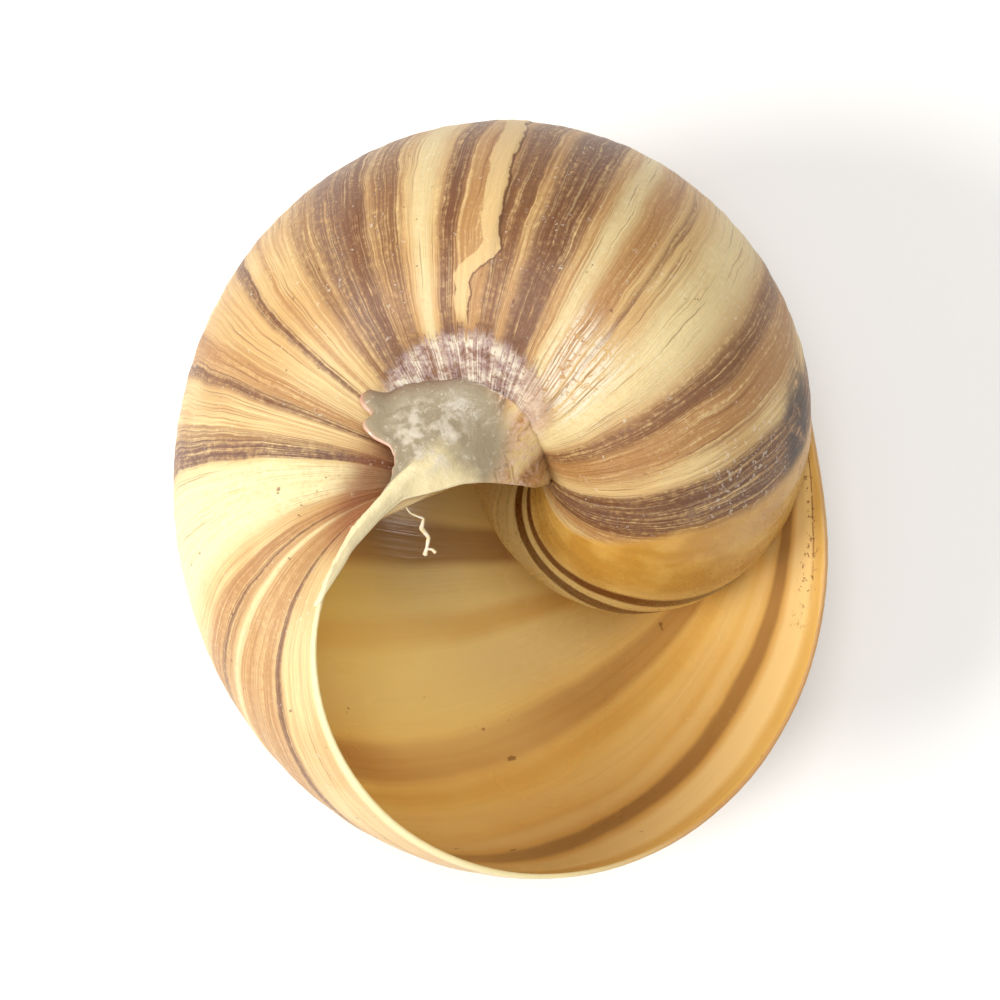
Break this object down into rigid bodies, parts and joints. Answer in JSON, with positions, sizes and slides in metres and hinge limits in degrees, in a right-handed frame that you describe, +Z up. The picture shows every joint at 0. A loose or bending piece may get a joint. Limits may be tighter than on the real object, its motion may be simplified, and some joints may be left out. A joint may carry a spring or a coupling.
{
  "type": "land snail shell",
  "caption": "Empty right-handed land snail shell, thin-walled and globular, with its open mouth, navel and spiral hollow; lies base up.",
  "frame": {"origin": "middle of the shell's bounding box, on the surface that it lies on", "axes": "+Z up, +Y across the shell from its mouth to the back of its last whorl, +X towards the spire's side"},
  "size_m": [0.0418, 0.048, 0.031],
  "materials": {
    "shell": "satin, smooth and glossier inside, finely ribbed outside, cream with brown streaks along its growth lines"
  },
  "bodies": {
    "root": {"shell": "shell"}
  },
  "joints": []
}
